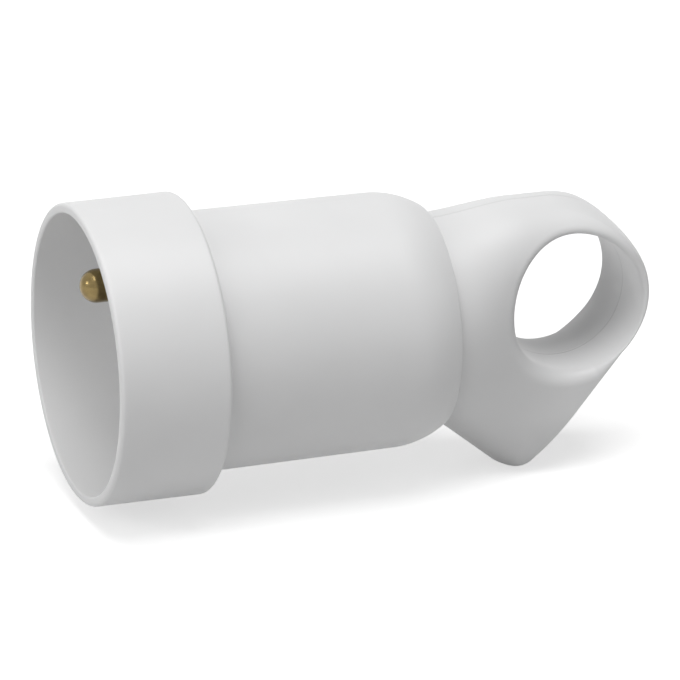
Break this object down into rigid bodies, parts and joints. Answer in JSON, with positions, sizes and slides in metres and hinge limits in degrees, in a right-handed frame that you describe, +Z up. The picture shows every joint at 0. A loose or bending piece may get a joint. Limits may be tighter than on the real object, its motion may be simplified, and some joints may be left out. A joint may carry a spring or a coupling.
{
  "type": "inline socket connector",
  "caption": "White rewirable inline mains socket: round collar with a recess and brass earth pin, tapered body, and a finger ring with a slanted cable outlet.",
  "frame": {"origin": "centre of the socket's mouth, on the body's axis", "axes": "+X along the axis from the mouth to the finger ring, +Z up towards the earth pin, the cable outlet slants down to the rear"},
  "size_m": [0.0837, 0.043, 0.0444],
  "materials": {
    "shell_plastic": "satin gloss white",
    "carrier_plastic": "matt off-white",
    "pin_brass": "turned",
    "contact_brass": "pressed",
    "spring_steel": "bright",
    "screw_steel": "zinc plated"
  },
  "bodies": {
    "root": {"socket_front": "shell_plastic", "body_sleeve": "shell_plastic", "ring_handle": "shell_plastic", "contact_carrier": "carrier_plastic", "cord_clamp": "carrier_plastic", "earth_pin": "pin_brass", "live_contact": "contact_brass", "live_contact_clip": "spring_steel", "neutral_contact": "contact_brass", "neutral_contact_clip": "spring_steel", "live_terminal": "contact_brass", "live_terminal_screw": "screw_steel", "neutral_terminal": "contact_brass", "neutral_terminal_screw": "screw_steel", "earth_terminal": "contact_brass", "earth_terminal_screw": "screw_steel", "upper_housing_screw": "screw_steel", "lower_housing_screw": "screw_steel", "near_clamp_screw": "screw_steel", "far_clamp_screw": "screw_steel"}
  },
  "joints": []
}
